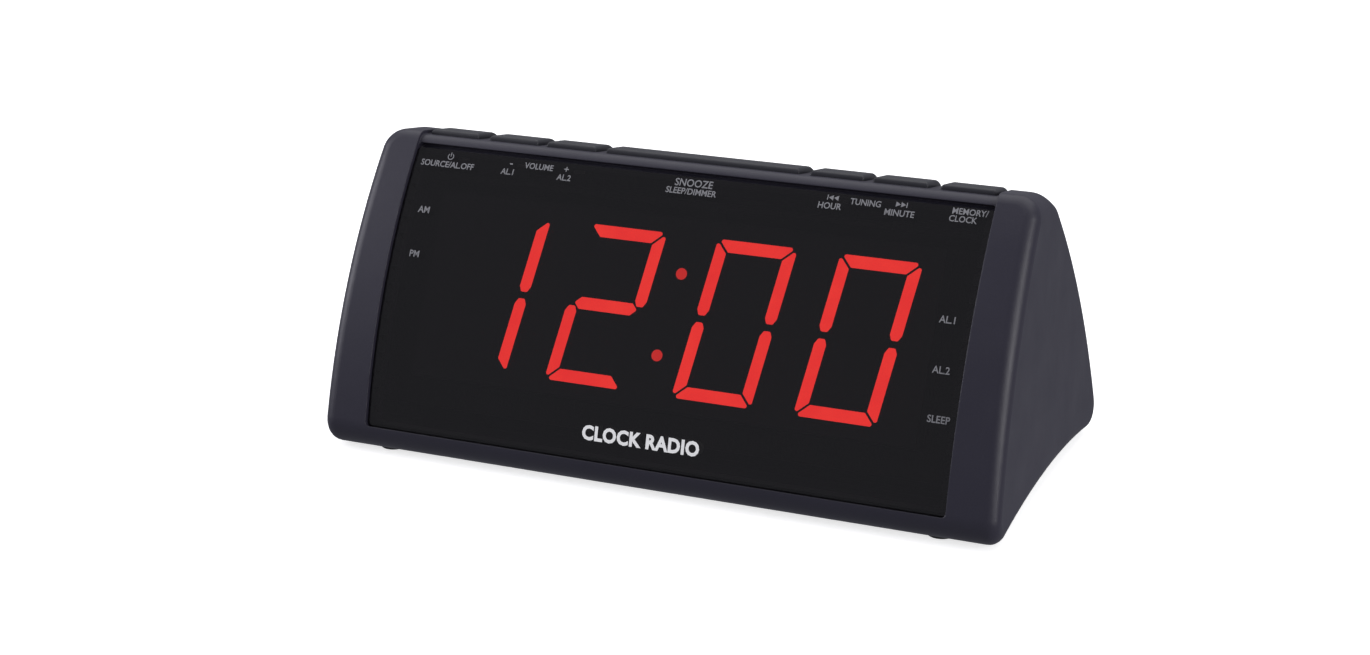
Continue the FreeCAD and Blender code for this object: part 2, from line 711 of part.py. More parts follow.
def segment_prism(name, centre, kind, depth):
    """One segment as a prism that starts at the display's face."""
    corners = [slanted(centre, across, up) for across, up in segment_outline(kind)]
    points = [FRONT.point(x, "0", z) for x, z in corners]
    inward = FRONT.point("0", "1", "0") - FRONT.point("0", "0", "0")
    item = doc.addObject("Part::Feature", name)
    prism = Part.Face(Part.makePolygon(points + points[:1])).extrude(inward * value(depth))
    along = [edge for edge in prism.Edges if abs(edge.tangentAt(edge.FirstParameter).dot(inward)) > 0.99]
    item.Shape = prism.makeFillet(value("segment_round"), along)
    return item


SLANT_RUN = "colon_spread * tan(digit_slant * 1 deg)"
COLON = [(SLANT_RUN, "digit_base + digit_height / 2 + colon_spread"),
         (f"-({SLANT_RUN})", "digit_base + digit_height / 2 - colon_spread")]
INDICATORS = [("-73.6", "64.9"), ("-73.6", "51.7"), ("73.6", "52.4"), ("73.6", "38.8"), ("73.6", "25.7")]


def display():
    """The block with its light chambers, the diffusers in them and the LED chips."""
    lit = []
    unlit = []
    chambers = []
    chips = []
    for number, (centre, glowing) in enumerate(DIGITS):
        for kind in list(SEGMENTS) + list(MIRRORED):
            name = f"{kind}_{number}"
            diffuser = segment_prism(name, centre, kind, "segment_depth")
            (lit if kind in glowing else unlit).append(diffuser)
            chambers.append(segment_prism(name + "_chamber", centre, kind, "block_depth"))
            corners = segment_outline(kind)
            across = " + ".join(f"({corner[0]})" for corner in corners)
            up = " + ".join(f"({corner[1]})" for corner in corners)
            chips.append(slanted(centre, f"({across}) / {len(corners)}", f"({up}) / {len(corners)}"))
    dots = []
    windows = []
    for number, (x, z) in enumerate(COLON + INDICATORS):
        radius = "dot_radius" if number < len(COLON) else "1.2"
        lamp = rod(f"lamp_{number}", FRONT, (x, "0", z), radius, "segment_depth", "y")
        (dots if number < len(COLON) else windows).append(lamp)
        chambers.append(rod(f"lamp_chamber_{number}", FRONT, (x, "0", z), radius, "block_depth", "y"))
        chips.append((x, z))
    block = box("block_blank", FRONT, ("-block_half", "block_half"), ("0", "block_depth"), ("17", "71"))
    keep(cut("display_block", block, *chambers), "display_block")
    group("lit_segments", lit)
    group("unlit_segments", unlit)
    group("colon_dots", dots)
    group("indicator_windows", windows)
    group("led_chips", [box(f"chip_{number}", FRONT, (f"{x} - 0.6", f"{x} + 0.6"),
                            ("block_depth - 0.8", "block_depth"), (f"{z} - 0.4", f"{z} + 0.4"))
                        for number, (x, z) in enumerate(chips)])


display()
display_board_blank = box("display_board_blank", FRONT, ("-91", "91"),
                          ("block_depth", "block_depth + board_thick"), ("9", "73"))
display_board_holes = [through(f"display_board_hole_{number}", FRONT, (x, "block_depth", z), "shank", "4", "y")
                       for number, (x, z) in enumerate(DISPLAY_SCREWS)]
keep(cut("display_board", display_board_blank, *display_board_holes), "display_board")

# ------------------------------------------------------------------ rear cover

SPEAKER_SCREWS = [(f"speaker_x + {across} * 19", f"{up} * 19") for across in (-1, 1) for up in (-1, 1)]


def speaker_slots():
    """Slots that fill a disc in front of the speaker."""
    slots = []
    disc = 22.5
    for row in range(-4, 5):
        height = row * 5.0
        reach = math.sqrt(disc ** 2 - height ** 2)
        across = (f"speaker_x - {reach:.2f}", f"speaker_x + {reach:.2f}")
        slots.append(box(f"speaker_slot_{row + 4}", REAR, across, ("-4.4", "4"),
                         (f"{height} - 1.1", f"{height} + 1.1")))
    return slots


def rear_cover():
    """The back panel: speaker slots, jack recess, posts and screw seats."""
    skin = common("rear_cover_skin", shell_form, rear_zone("rear_cover_zone", "panel", "cover_gap"))
    recess_block = box("recess_block", WORLD, ("12.4", "71.6"), ("recess_wall_y - 1.8", "60"), ("13.4", "31.6"))
    recess_walls = common("recess_walls", case_form, recess_block)
    posts = [rod(f"speaker_post_{number}", REAR, (x, "speaker_face", z), "2.2", "2.6", "y")
             for number, (x, z) in enumerate(SPEAKER_SCREWS)]
    drills = speaker_slots()
    drills.append(box("recess", WORLD, ("14", "70"), ("recess_wall_y", "62"), ("15", "30")))
    drills.append(through("power_hole", WORLD, ("power_x", "recess_wall_y", "jack_z"), "3.7", "4", "y"))
    drills.append(through("audio_hole", WORLD, ("audio_x", "recess_wall_y", "jack_z"), "3.1", "4", "y"))
    drills.append(through("aerial_hole", WORLD, ("aerial_x", "recess_wall_y", "jack_z"), "2.4", "4", "y"))
    for number, (x, z) in enumerate(SPEAKER_SCREWS):
        drills.append(rod(f"speaker_pilot_{number}", REAR, (x, "speaker_face - 1", z), "shank", "3.8", "y"))
    for number, (x, z) in enumerate(REAR_SCREWS):
        drills.append(rod(f"rear_clear_{number}", REAR, (x, "-9", z), "shank + 0.3", "10", "y"))
        drills.append(rod(f"rear_seat_{number}", REAR, (x, REAR_SEAT, z), "head_radius + 0.4", "6", "y"))
    solid = fuse("rear_cover_solid", skin, recess_walls, *posts)
    return keep(cut("rear_cover", solid, *drills), "rear_cover")


rear_cover()


def speaker():
    """A 57 mm speaker: basket, magnet, moving cone and its surround."""
    start = ("speaker_x", "0", "0")
    basket_profile = [("22.9", "speaker_face"), ("28.3", "speaker_face"), ("28.3", "speaker_face - 1.2"),
                      ("24.2", "speaker_face - 1.2"), ("15.8", "-17.2"), ("15.8", "-18.8"), ("8", "-18.8"),
                      ("8", "-17.8"), ("14.8", "-17.8"), ("14.8", "-17"), ("22.9", "speaker_face - 1.6")]
    blank = turned("basket_blank", REAR, start, basket_profile, "y")
    holes = [through(f"basket_hole_{number}", REAR, (x, "speaker_face", z), "shank", "3", "y")
             for number, (x, z) in enumerate(SPEAKER_SCREWS)]
    keep(cut("speaker_basket", blank, *holes), "speaker_basket")
    magnet = [("0", "-26.8"), ("16", "-26.8"), ("16", "-18.8"), ("7.6", "-18.8"), ("7.6", "-24.8"),
              ("6.1", "-24.8"), ("6.1", "-18.8"), ("0", "-18.8")]
    keep(turned("speaker_magnet", REAR, start, magnet, "y"), "speaker_magnet")
    cone = [("0", "-12.4"), ("3.5", "-12.8"), ("6.6", "-14.2"), ("20.2", "-7.3"), ("20.4", "-8"),
            ("7.2", "-15.6"), ("7.2", "-23.5"), ("6.5", "-23.5"), ("6.5", "-15"), ("3.4", "-13.5"),
            ("0", "-13.1")]
    keep(turned("speaker_cone", REAR, start, cone, "y"), "speaker_cone")
    surround = [("20.7", "-6.9"), ("21.3", "-5.2"), ("22.4", "-4.3"), ("23.9", "-4.3"),
                ("23.9", "speaker_face"), ("22.8", "speaker_face"), ("21.9", "-5.6"), ("21.2", "-7")]
    keep(turned("speaker_surround", REAR, start, surround, "y"), "speaker_surround")
    group("speaker_screws",
          [self_tapping_screw(f"speaker_screw_{number}", REAR, (x, "speaker_face - 1.2", z), "y", False, "4")
           for number, (x, z) in enumerate(SPEAKER_SCREWS)])


def jacks():
    """The power inlet with its pin, the audio jack and the aerial grommet."""
    behind_wall = ("recess_wall_y - 15.8", "recess_wall_y - 1.8")
    body = box("power_body", WORLD, ("power_x - 4.5", "power_x + 4.5"), behind_wall,
               ("main_board_z + board_thick", "jack_z + 4.5"))
    nose = rod("power_nose", WORLD, ("power_x", "recess_wall_y - 1.8", "jack_z"), "3.6", "1.6", "y")
    mouth = rod("power_mouth", WORLD, ("power_x", "recess_wall_y - 10", "jack_z"), "2.9", "12", "y")
    keep(cut("power_inlet", fuse("power_blank", body, nose), mouth), "power_inlet")
    keep(rod("power_pin", WORLD, ("power_x", "recess_wall_y - 10", "jack_z"), "1.05", "9", "y"), "power_pin")
    audio_body = box("audio_body", WORLD, ("audio_x - 4", "audio_x + 4"), behind_wall,
                     ("main_board_z + board_thick", "jack_z + 3.6"))
    audio_nose = rod("audio_nose", WORLD, ("audio_x", "recess_wall_y - 1.8", "jack_z"), "3", "1.6", "y")
    bore = rod("audio_bore_drill", WORLD, ("audio_x", "recess_wall_y - 14.2", "jack_z"), "audio_bore", "16",
               "y")
    keep(cut("audio_jack", fuse("audio_blank", audio_body, audio_nose), bore), "audio_jack")
    grommet = [("1", "-3.2"), ("3.4", "-3.2"), ("3.4", "-1.8"), ("2.4", "-1.8"), ("2.4", "0"), ("3.4", "0"),
               ("3.2", "1.2"), ("1", "1.2")]
    aerial_hole = ("aerial_x", "recess_wall_y", "jack_z")
    keep(turned("aerial_grommet", WORLD, aerial_hole, grommet, "y"), "aerial_grommet")


speaker()
jacks()

# ------------------------------------------------------------------ base cover

CELL_ROWS = ["-6.6", "4.8"]
CELL_Z = "12.4"
CELL_START = "door_left + 2"


def base_cover():
    """The arched underside panel with the battery well, vents and board posts."""
    skin = common("base_cover_skin", shell_form, base_zone("base_cover_zone", "panel", "cover_gap"))
    well_block = box("well_block", WORLD, ("door_left - 1.9", "door_right + 1.9"), ("-16.1", "16.1"),
                     ("1", "19.6"))
    well = common("well_walls", case_form, well_block)
    post_blanks = [rod(f"board_post_{number}", WORLD, (x, y, "1"), "3", "main_board_z - 1")
                   for number, (x, y) in enumerate(BOARD_SCREWS)]
    posts = common("board_posts", case_form, fuse("board_post_blanks", *post_blanks))
    drills = [box("well", WORLD, ("door_left - 0.3", "door_right + 0.3"), ("door_front - 0.3", "hinge_y + 1.5"),
                  ("-4", "18")),
              rod("nail_notch", WORLD, ("(door_left + door_right) / 2", "door_front - 0.3", "0"), "6", "5.2"),
              rod("pin_holes", WORLD, ("door_left - 1.7", "hinge_y", "hinge_z"), "pin_radius + 0.05",
                  "door_right - door_left + 3.4", "x")]
    for number in range(8):
        across = (f"20 + {number} * 7", f"22.2 + {number} * 7")
        drills.append(box(f"vent_{number}", WORLD, across, ("-11", "13"), ("-2", "9")))
    for number, (x, y) in enumerate(BASE_SCREWS):
        drills.append(rod(f"base_clear_{number}", WORLD, (x, y, "-2"), "shank + 0.3", "11"))
        drills.append(rod(f"base_seat_{number}", WORLD, (x, y, "-2"), "head_radius + 0.4",
                          f"{BASE_SEAT} + 2"))
    for number, (x, y) in enumerate(BOARD_SCREWS):
        drills.append(rod(f"board_pilot_{number}", WORLD, (x, y, "main_board_z - 4.6"), "shank", "6"))
    drills.append(plate_skin("plate_pocket"))
    solid = fuse("base_cover_solid", skin, well, posts)
    return keep(cut("base_cover", solid, *drills), "base_cover")


def plate_skin(name):
    """The thin blank label let into the underside."""
    zone = box(name + "_zone", WORLD, ("-20", "14"), ("-10", "12"), ("-2", "9"))
    return cut(name, common(name + "_block", case_form, zone), plate_form)


plate_form = inset_round("plate_form", "0.3")
base_cover()
keep(plate_skin("rating_plate"), "rating_plate")


def battery_door():
    """The door plate with a rounded hinge edge and a pin at each end of it."""
    door_block = box("door_block", WORLD, ("door_left", "door_right"), ("door_front", "hinge_y"), ("-2", "12"))
    plate = common("door_plate", shell_form, door_block)
    barrel = rod("door_barrel", WORLD, ("door_left", "hinge_y", "hinge_z"), "hinge_radius",
                 "door_right - door_left", "x")
    pins = rod("door_pins", WORLD, ("door_left - 1.4", "hinge_y", "hinge_z"), "pin_radius",
               "door_right - door_left + 2.8", "x")
    return keep(fuse("battery_door", plate, barrel, pins), "battery_door")


def contact(name, y, wall, leaf, cell_end):
    """A plate on the well's wall, with a boss that reaches the cell's end."""
    plate = box(name + "_plate", WORLD, sorted((wall, leaf), key=value), (f"{y} - 4", f"{y} + 4"),
                (f"{CELL_Z} - 4", f"{CELL_Z} + 4"))
    near, far = sorted((leaf, cell_end), key=value)
    boss = rod(name + "_boss", WORLD, (near, y, CELL_Z), "1.6", f"({far}) - ({near})", "x")
    return fuse(name, plate, boss)


def batteries():
    """Two backup cells laid opposite ways between their contacts."""
    cap_right = [("0", "0"), ("cell_radius", "0"), ("cell_radius", "cell_length - 0.8"),
                 ("2", "cell_length - 0.8"), ("2", "cell_length"), ("0", "cell_length")]
    cap_left = [("0", "0"), ("2", "0"), ("2", "0.8"), ("cell_radius", "0.8"),
                ("cell_radius", "cell_length"), ("0", "cell_length")]
    cells = []
    contacts = []
    for number, (y, profile) in enumerate(zip(CELL_ROWS, (cap_right, cap_left))):
        cells.append(turned(f"cell_{number}", WORLD, (CELL_START, y, CELL_Z), profile, "x"))
        contacts.append(contact(f"left_contact_{number}", y, "door_left - 0.3", "door_left + 0.1", CELL_START))
        contacts.append(contact(f"right_contact_{number}", y, "door_right + 0.3", "door_right - 0.1",
                                f"{CELL_START} + cell_length"))
    group("backup_cells", cells)
    group("battery_contacts", contacts)


def feet():
    """Four rubber feet with a rounded lower edge, in pockets of the cabinet."""
    profile = [("0", "0"), ("foot_radius - 0.7", "0"), ("foot_radius", "0.7"),
               ("foot_radius", "foot_height"), ("0", "foot_height")]
    group("rubber_feet", [turned(f"foot_{number}", WORLD, (x, y, "0"), profile)
                          for number, (x, y) in enumerate(FEET)])


battery_door()
batteries()
feet()

# ------------------------------------------------------------------ electronics

BOARD_TOP = "(main_board_z + board_thick)"


def main_board():
    """The main board on its four posts."""
    blank = box("main_board_blank", WORLD, ("-12", "84"), ("-30", "recess_wall_y - 2.5"),
                ("main_board_z", BOARD_TOP))
    holes = [through(f"board_hole_{number}", WORLD, (x, y, "main_board_z"), "shank", "4", "z")
             for number, (x, y) in enumerate(BOARD_SCREWS)]
    return keep(cut("main_board", blank, *holes), "main_board")


def on_board(name, x, y, height):
    """A block that stands on the main board."""
    return box(name, WORLD, x, y, (BOARD_TOP, f"{BOARD_TOP} + {height}"))


def upright_edges(radius):
    """Rounds a block's upright edges."""
    return lambda edge: radius if abs(edge.tangentAt(edge.FirstParameter).z) > 0.9 else 0


def components():
    """The parts on the main board."""
    tuner_block = on_board("tuner_block", ("52", "74"), ("-20", "-4"), "8")
    keep(rounded("tuner_can", tuner_block, upright_edges(1)), "tuner_can")
    keep(on_board("radio_chip", ("30", "40"), ("-16", "-6"), "1.8"), "radio_chip")
    keep(on_board("clock_chip", ("13", "25"), ("-7", "5"), "2"), "clock_chip")
    keep(on_board("amplifier_chip", ("-3", "11"), ("24", "28"), "11"), "amplifier_chip")
    fins = [on_board(f"fin_{number}", (f"-1 + {number} * 4", f"{number} * 4"), ("29.5", "34.5"), "15")
            for number in range(3)]
    plate = on_board("fin_plate", ("-1", "9"), ("28", "29.6"), "15")
    keep(fuse("heat_sink", plate, *fins), "heat_sink")
    capacitors = []
    for number, (x, y, radius, height) in enumerate((("1", "-19", "4", "11"), ("11", "-19", "4", "11"),
                                                     ("46", "-24", "3", "8"), ("47", "-14", "2.5", "7"))):
        profile = [("0", "0"), (f"{radius} - 0.3", "0"), (radius, "0.3"), (radius, f"{height} - 0.5"),
                   (f"{radius} - 0.5", height), ("0", height)]
        capacitors.append(turned(f"capacitor_{number}", WORLD, (x, y, BOARD_TOP), profile))
    group("capacitors", capacitors)
    crystal_block = on_board("crystal_block", ("30", "41"), ("-1", "3.5"), "3.5")
    keep(rounded("clock_crystal", crystal_block, upright_edges(2)), "clock_crystal")


def aerial():
    """The ferrite rod for AM, its coil and the two holders that carry it."""
    y = "18"
    z = "24"
    keep(rod("ferrite_rod", WORLD, ("2", y, z), "4", "80", "x"), "ferrite_rod")
    former = rod("coil_blank", WORLD, ("48", y, z), "5.2", "20", "x")
    keep(cut("aerial_coil", former, rod("coil_bore", WORLD, ("47", y, z), "4", "22", "x")), "aerial_coil")
    holders = []
    for number, x in enumerate(("10", "74")):
        stand = on_board(f"holder_block_{number}", (x, f"{x} + 4"), (f"{y} - 6", f"{y} + 6"), "17")
        bore = rod(f"holder_bore_{number}", WORLD, (f"{x} - 1", y, z), "4", "6", "x")
        holders.append(cut(f"holder_{number}", stand, bore))
    group("aerial_holders", holders)


RIBBON_BEND = "8"


def ribbons():
    """Connectors on the boards, and the flat ribbons between them."""
    display_plug = box("display_plug", FRONT, ("22", "42"), ("block_depth + board_thick", "13.6"), ("20", "26"))
    display_socket = on_board("display_socket", ("22", "42"), ("-28.6", "-22.6"), "3.6")
    button_plug = box("button_plug", TOP, ("-9", "3"), ("9.5", "15.5"),
                      ("button_board_top - board_thick - 5", "button_board_top - board_thick"))
    button_socket = on_board("button_socket", ("-9", "3"), ("-3", "3"), "4")
    speaker_socket = on_board("speaker_socket", ("-11", "-5"), ("9", "15"), "4")
    group("connectors", [display_plug, display_socket, button_plug, button_socket, speaker_socket])
    body = doc.addObject("PartDesign::Body", "display_ribbon")
    sketch = sketch_on(body, "XZ_Plane")
    outline(sketch, [(f"{RIBBON_BEND} - 0.3", "-40"), (f"{RIBBON_BEND} + 0.3", "-40"),
                     (f"{RIBBON_BEND} + 0.3", "-24"), (f"{RIBBON_BEND} - 0.3", "-24")])
    sweep = body.newObject("PartDesign::Revolution", "display_ribbon_bend")
    sweep.Profile = sketch
    sweep.ReferenceAxis = (sketch, ["V_Axis"])
    bind(sweep, {"Angle": "90 - front_lean"})
    start = FRONT.point("0", "13.6", "23")
    lean = value("front_lean")
    heading = Vector(0, math.cos(math.radians(lean)), -math.sin(math.radians(lean)))
    centre = start + Vector(0, heading.z, -heading.y) * value(RIBBON_BEND)
    outward = (start - centre).normalize()
    body.Placement = FreeCAD.Placement(centre, Rotation(outward, Vector(), Vector(-1, 0, 0), "XZY"))
    button_ribbon = cut("button_ribbon", box("button_ribbon_blank", WORLD, ("-8", "2"), ("-0.3", "0.3"),
                                             (f"{BOARD_TOP} + 4", "70")), button_plug)
    group("ribbon_cables", [body, button_ribbon])


def speaker_leads():
    """Two leads from the speaker's basket to their socket on the main board."""
    leads = []
    for number, shift in enumerate((-1, 1)):
        terminal = REAR.point("speaker_x + 16.8", "-17.6", f"{shift * 1.5}")
        socket = Vector(-8, 12 + shift, value(f"{BOARD_TOP} + 4"))
        points = [terminal, terminal + Vector(7, 0, 0), Vector(-18, 17 + shift, 27),
                  Vector(-8, 12 + shift, 26), socket]
        leads.append(wire_tube(f"speaker_lead_{number}", points, 0.6))
    group("speaker_leads", leads)


def fasteners():
    """Screws for the covers and the boards, each kind one group."""
    group("rear_screws", [self_tapping_screw(f"rear_screw_{number}", REAR, (x, REAR_SEAT, z), "y")
                          for number, (x, z) in enumerate(REAR_SCREWS)])
    group("base_screws", [self_tapping_screw(f"base_screw_{number}", WORLD, (x, y, BASE_SEAT), "z", False)
                          for number, (x, y) in enumerate(BASE_SCREWS)])
    screws = [self_tapping_screw(f"board_screw_{number}", WORLD, (x, y, BOARD_TOP))
              for number, (x, y) in enumerate(BOARD_SCREWS)]
    screws += [self_tapping_screw(f"button_board_screw_{number}", TOP, (x, y, "button_board_top - board_thick"),
                                  "z", False)
               for number, (x, y) in enumerate(BUTTON_POSTS)]
    for number, (x, z) in enumerate(DISPLAY_SCREWS):
        behind = (x, "block_depth + board_thick", z)
        screws.append(self_tapping_screw(f"display_screw_{number}", FRONT, behind, "y"))
    group("board_screws", screws)


main_board()
components()
aerial()
ribbons()
speaker_leads()
fasteners()

# ------------------------------------------------------------------ checks, files

doc.recompute()
faults = [item.Name for item in doc.Objects if "Invalid" in item.State or "Error" in item.State]
for name, item in nodes.items():
    if item.Shape.isNull() or not item.Shape.isValid() or not item.Shape.Solids:
        faults.append(name)
if faults:
    raise SystemExit(f"these did not build: {sorted(set(faults))}")

os.makedirs("parts", exist_ok=True)
for name, item in nodes.items():
    item.Shape.exportStep(f"parts/{name}.step")
    print(f"{name}: {len(item.Shape.Solids)} solids, {item.Shape.Volume / 1000:.2f} cm3")
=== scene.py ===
import json
import math

import bmesh
import bpy
from mathutils import Euler, Matrix, Vector
from mathutils.bvhtree import BVHTree


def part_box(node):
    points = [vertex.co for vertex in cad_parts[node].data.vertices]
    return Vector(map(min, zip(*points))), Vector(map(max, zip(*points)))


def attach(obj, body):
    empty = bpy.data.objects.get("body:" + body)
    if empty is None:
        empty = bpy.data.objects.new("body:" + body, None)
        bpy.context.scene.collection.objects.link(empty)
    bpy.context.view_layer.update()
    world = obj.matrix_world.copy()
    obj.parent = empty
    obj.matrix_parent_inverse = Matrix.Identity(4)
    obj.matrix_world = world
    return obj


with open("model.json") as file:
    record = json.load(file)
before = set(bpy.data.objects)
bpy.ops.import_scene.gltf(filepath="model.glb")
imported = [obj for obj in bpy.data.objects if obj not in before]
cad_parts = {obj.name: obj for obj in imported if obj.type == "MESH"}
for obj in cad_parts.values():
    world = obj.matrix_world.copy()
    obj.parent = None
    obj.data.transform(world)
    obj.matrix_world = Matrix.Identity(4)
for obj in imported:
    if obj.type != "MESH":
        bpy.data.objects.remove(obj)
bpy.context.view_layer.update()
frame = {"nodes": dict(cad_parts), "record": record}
nodes = frame["nodes"]

MM = 0.001
EASED = 0.5  # how far a moulding's sharp edges are eased and rubbed, in mm
INK = 0.03 * MM  # thickness of the printing
scene = bpy.context.scene
scene.view_settings.view_transform = "Standard"

# The front leans back and the curved back leans forward by these angles.
FRONT_LEAN = math.radians(25.54)
BACK_LEAN = math.radians(32.8)


# ------------------------------------------------------------------ materials

COLOUR_INPUTS = (6, 7)  # the mixing node's two colour sockets
COLOUR_OUTPUT = 2
WAVE_RATE = 20  # radians that the wave texture turns in one metre, at a scale of 1
MOST = (0.3, 0.7)  # nearly all of a noise lies between these


class Paint:
    """One node material: a Principled shader and what feeds it."""

    def __init__(self, name, **values):
        self.material = bpy.data.materials.new(name)
        self.material.use_nodes = True
        self.nodes = self.material.node_tree.nodes
        self.links = self.material.node_tree.links
        self.shader = self.nodes["Principled BSDF"]
        self.output = self.nodes["Material Output"]
        self.place = self.add("ShaderNodeTexCoord").outputs["Object"]
        for key, value in values.items():
            self.set(key.replace("_", " ").title().replace("Ior", "IOR"), value)

    def add(self, kind, **settings):
        """Add a node of a kind, with its settings."""
        node = self.nodes.new(kind)
        for key, value in settings.items():
            setattr(node, key, value)
        return node

    def feed(self, socket, source):
        """Put a number, a colour or another node's output on a socket."""
        if isinstance(source, bpy.types.NodeSocket):
            self.links.new(source, socket)
        elif socket.type == "RGBA":
            socket.default_value = (*source, 1)
        else:
            socket.default_value = source

    def set(self, name, source):
        """Feed one of the shader's sockets."""
        self.feed(self.shader.inputs[name], source)

    def stretched(self, x, y, z, turn=(0, 0, 0)):
        """The object's own coordinates in metres, scaled along each axis."""
        node = self.add("ShaderNodeMapping")
        self.feed(node.inputs["Vector"], self.place)
        node.inputs["Rotation"].default_value = turn
        node.inputs["Scale"].default_value = (x, y, z)
        return node.outputs["Vector"]

    def noise(self, size, detail=2.0, roughness=0.5, place=None):
        """Soft noise whose blotches are about size millimetres."""
        node = self.add("ShaderNodeTexNoise")
        self.feed(node.inputs["Vector"], place or self.place)
        node.inputs["Scale"].default_value = 1 / (size * MM)
        node.inputs["Detail"].default_value = detail
        node.inputs["Roughness"].default_value = roughness
        return node.outputs["Fac"]

    def cells(self, size):
        """Round cells about size millimetres across."""
        node = self.add("ShaderNodeTexVoronoi")
        self.feed(node.inputs["Vector"], self.place)
        node.inputs["Scale"].default_value = 1 / (size * MM)
        return node.outputs["Distance"]

    def bands(self, size):
        """Even bands across X, one for every size millimetres."""
        node = self.add("ShaderNodeTexWave")
        self.feed(node.inputs["Vector"], self.place)
        node.inputs["Scale"].default_value = math.tau / WAVE_RATE / (size * MM)
        return node.outputs["Fac"]

    def span(self, source, low, high, to_low=0.0, to_high=1.0):
        """Map a range of a value onto another range, and hold it there."""
        node = self.add("ShaderNodeMapRange", clamp=True)
        for name, value in (("Value", source), ("From Min", low), ("From Max", high),
                            ("To Min", to_low), ("To Max", to_high)):
            self.feed(node.inputs[name], value)
        return node.outputs["Result"]

    def math(self, operation, first, second):
        """Work out a value from two."""
        node = self.add("ShaderNodeMath", operation=operation)
        self.feed(node.inputs[0], first)
        self.feed(node.inputs[1], second)
        return node.outputs[0]

    def mix(self, factor, first, second):
        """Mix two colours: the first at nought, the second at one."""
        node = self.add("ShaderNodeMix", data_type="RGBA")
        self.feed(node.inputs["Factor"], factor)
        for socket, colour in zip(COLOUR_INPUTS, (first, second)):
            self.feed(node.inputs[socket], colour)
        return node.outputs[COLOUR_OUTPUT]

    def roughen(self, source, low, high):
        """Let the roughness follow a noise, from low to high."""
        self.set("Roughness", self.span(source, *MOST, low, high))

    def raise_by(self, height, depth, under=None):
        """Raise the surface by up to depth millimetres, over another direction if given."""
        node = self.add("ShaderNodeBump")
        node.inputs["Strength"].default_value = 1.0
        node.inputs["Distance"].default_value = depth * MM
        self.feed(node.inputs["Height"], height)
        if under is not None:
            self.feed(node.inputs["Normal"], under)
        self.set("Normal", node.outputs["Normal"])

    def eased(self, radius):
        """The surface's direction, with sharp edges eased by radius millimetres."""
        node = self.add("ShaderNodeBevel", samples=4)
        node.inputs["Radius"].default_value = radius * MM
        return node.outputs["Normal"]

    def edges(self, radius):
        """One at the piece's edges and nought on its faces."""
        flat = self.add("ShaderNodeNewGeometry").outputs["Normal"]
        dot = self.add("ShaderNodeVectorMath", operation="DOT_PRODUCT")
        self.feed(dot.inputs[0], self.eased(radius))
        self.feed(dot.inputs[1], flat)
        return self.span(dot.outputs["Value"], 0.995, 0.9)


def times(colour, factor):
    """A colour made darker or lighter."""
    return [part * factor for part in colour]


def moulded_plastic(name, colour, worn, roughness, grain=0.35):
    """Spark-textured moulding, smoother and paler where hands and edges rub."""
    paint = Paint(name, specular_ior_level=0.5)
    cloudy = paint.noise(38, 3)
    fine = paint.noise(grain, 3, 0.6)
    pits = paint.cells(grain * 2.2)
    base = paint.mix(paint.span(cloudy, *MOST), colour, times(colour, 1.12))
    speckled = paint.mix(paint.span(fine, 0.35, 0.75, 0, 0.35), base, times(colour, 1.5))
    patchy = paint.span(paint.noise(7, 4), 0.35, 0.7, 0.3, 0.45)
    rubbed = paint.math("MULTIPLY", paint.edges(EASED), patchy)
    paint.set("Base Color", paint.mix(rubbed, speckled, worn))
    dull = paint.span(paint.noise(14, 4), 0.25, 0.75, roughness - 0.04, roughness + 0.05)
    paint.set("Roughness", paint.math("SUBTRACT", dull, paint.math("MULTIPLY", rubbed, 0.12)))
    texture = paint.math("ADD", fine, paint.math("MULTIPLY", pits, 0.5))
    paint.raise_by(texture, 0.02, paint.eased(EASED))
    return paint.material


def smoked_lens():
    """Tinted acrylic that lets the glowing segments through, with a gloss skin."""
    paint = Paint("lens_plastic", ior=1.49)
    smears = paint.noise(23, 5, 0.65)
    paint.set("Roughness", paint.span(smears, 0.3, 0.8, 0.03, 0.10))
    paint.set("Base Color", paint.mix(smears, (0.006, 0.0055, 0.0075), (0.009, 0.008, 0.011)))
    clear = paint.add("ShaderNodeBsdfTransparent")
    clear.inputs["Color"].default_value = (0.47, 0.44, 0.455, 1)
    blend = paint.add("ShaderNodeMixShader")
    blend.inputs["Fac"].default_value = 0.14
    skin = paint.add("ShaderNodeBsdfPrincipled")
    paint.feed(skin.inputs["Base Color"], (0.0, 0.0, 0.0))
    paint.feed(skin.inputs["Roughness"], paint.span(smears, 0.3, 0.8, 0.03, 0.09))
    skin.inputs["IOR"].default_value = 1.49
    sheen = paint.add("ShaderNodeAddShader")
    paint.links.new(clear.outputs["BSDF"], blend.inputs[1])
    paint.links.new(paint.shader.outputs["BSDF"], blend.inputs[2])
    paint.links.new(blend.outputs["Shader"], sheen.inputs[0])
    paint.links.new(skin.outputs["BSDF"], sheen.inputs[1])
    paint.links.new(sheen.outputs["Shader"], paint.output.inputs["Surface"])
    return paint.material


def glowing_diffuser(name, strength):
    """A lit segment: red light, a little uneven along its length."""
    paint = Paint(name, base_color=(0.35, 0.01, 0.01), roughness=0.45)
    uneven = paint.span(paint.noise(9, 2), *MOST)
    grain = paint.span(paint.noise(0.4, 2), *MOST, 0, 0.25)
    tone = paint.mix(uneven, (0.93, 0.032, 0.028), (1.0, 0.045, 0.032))
    paint.set("Emission Color", paint.mix(grain, tone, (0.80, 0.026, 0.026)))
    paint.set("Emission Strength", strength)
    paint.raise_by(paint.noise(0.5, 2), 0.03)
    return paint.material


